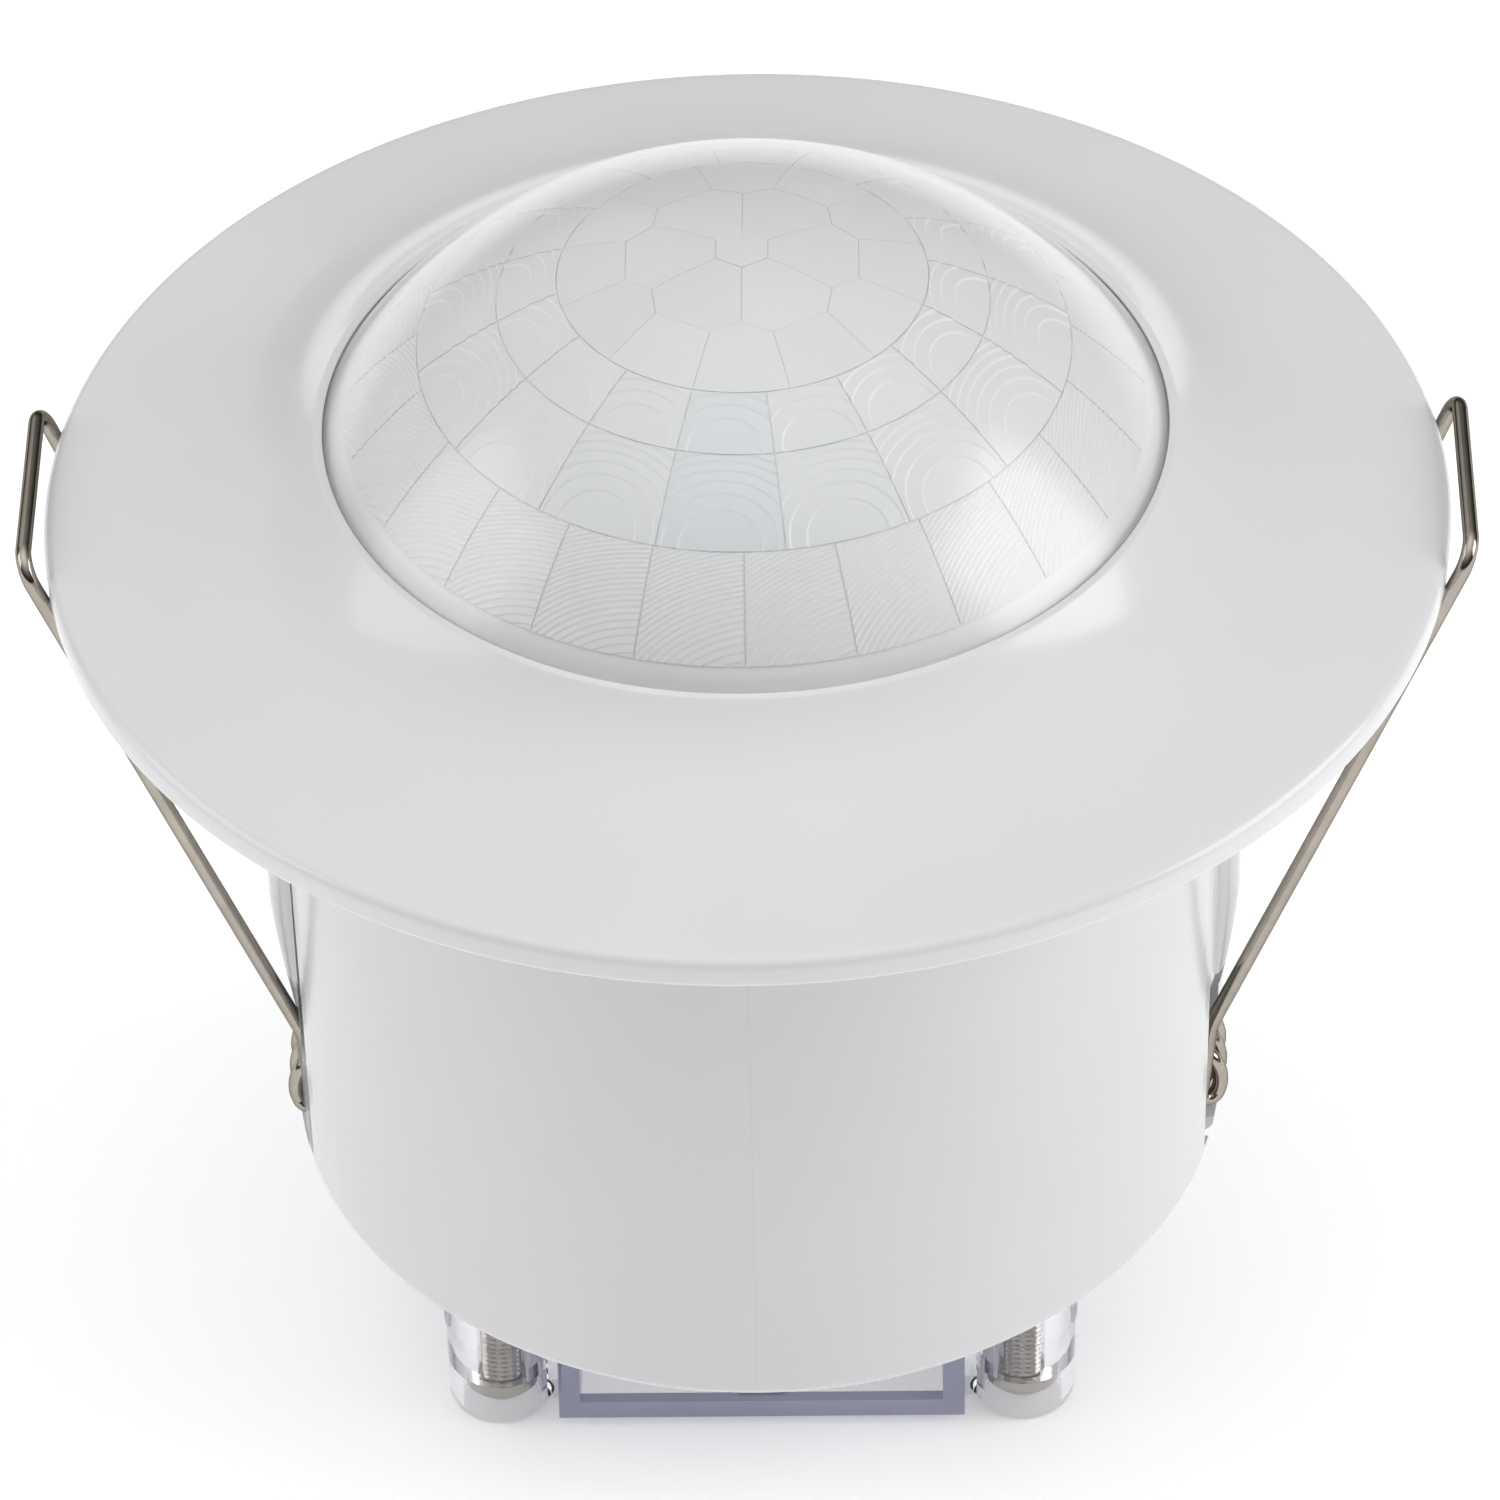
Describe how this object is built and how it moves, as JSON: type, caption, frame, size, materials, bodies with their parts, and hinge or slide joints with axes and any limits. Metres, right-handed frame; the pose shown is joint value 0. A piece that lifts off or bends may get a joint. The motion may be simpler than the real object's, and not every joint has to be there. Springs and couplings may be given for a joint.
{
  "type": "recessed ceiling motion sensor",
  "caption": "Round recessed motion sensor with a domed segmented lens, white flange and can, sprung wire clips and a clear terminal cover on the rear.",
  "frame": {"origin": "under the middle of the object, on the surface that its terminal cover stands on", "axes": "+Z the way the lens looks, +X through the right spring clip, -Y the side of the cable window"},
  "size_m": [0.1082, 0.105, 0.1014],
  "materials": {
    "white_shell": "glossy moulded white plastic with faint surface waviness",
    "white_moulding": "satin white moulding",
    "milky_lens": "glossy milky polyethylene, grooved on its inner side",
    "spring_wire": "drawn nickel-plated spring wire",
    "zinc_steel": "zinc-plated steel",
    "clear_cover": "clear moulded polycarbonate with a violet-grey tint in its edges",
    "grey_moulding": "satin grey moulding",
    "black_case": "black sleeve",
    "blue_case": "satin blue case",
    "clamp_brass": "machined brass",
    "circuit_board": "green solder mask over glass laminate",
    "sensor_can": "nickel-plated can",
    "dark_window": "dark infrared filter"
  },
  "bodies": {
    "detector": {"bezel": "white_shell", "rear_housing": "white_shell", "lens_retainer": "white_moulding", "fresnel_lens": "milky_lens", "right_clip_pin": "zinc_steel", "left_clip_pin": "zinc_steel", "terminal_cover": "clear_cover", "left_cover_screw": "zinc_steel", "right_cover_screw": "zinc_steel", "terminal_block": "grey_moulding", "wire_clamp_1": "clamp_brass", "wire_clamp_2": "clamp_brass", "wire_clamp_3": "clamp_brass", "terminal_screw_1": "zinc_steel", "terminal_screw_2": "zinc_steel", "terminal_screw_3": "zinc_steel", "power_board": "circuit_board", "relay": "blue_case", "suppression_capacitor": "grey_moulding", "smoothing_capacitor": "black_case", "varistor": "blue_case", "fuse": "black_case", "riser_board": "circuit_board", "sensor_board": "circuit_board", "board_spacer_1": "clamp_brass", "board_spacer_2": "clamp_brass", "board_spacer_3": "clamp_brass", "board_screw_1": "zinc_steel", "board_screw_2": "zinc_steel", "board_screw_3": "zinc_steel", "pir_sensor": "sensor_can", "pir_filter_window": "dark_window", "light_sensor": "milky_lens", "time_pot": "blue_case", "lux_pot": "blue_case"},
    "right_clip": {"right_clip": "spring_wire"},
    "left_clip": {"left_clip": "spring_wire"},
    "time_knob": {"time_knob": "white_moulding"},
    "lux_knob": {"lux_knob": "white_moulding"}
  },
  "joints": [
    {"name": "right_clip_hinge", "type": "hinge", "parent": "detector", "child": "right_clip", "pos_m": [0.0328, 0, 0.0244], "axis": [0, 1, 0], "range_deg": [0, 155], "stiffness_Nm_per_rad": 0.12, "springref_deg": -28.65},
    {"name": "left_clip_hinge", "type": "hinge", "parent": "detector", "child": "left_clip", "pos_m": [-0.0328, 0, 0.0244], "axis": [0, -1, 0], "range_deg": [0, 155], "stiffness_Nm_per_rad": 0.12, "springref_deg": -28.65},
    {"name": "time_knob_turn", "type": "hinge", "parent": "detector", "child": "time_knob", "pos_m": [-0.008, 0.0245, 0.016], "axis": [0, 0, -1], "range_deg": [-135, 135]},
    {"name": "lux_knob_turn", "type": "hinge", "parent": "detector", "child": "lux_knob", "pos_m": [0.008, 0.0245, 0.016], "axis": [0, 0, -1], "range_deg": [-135, 135]}
  ]
}
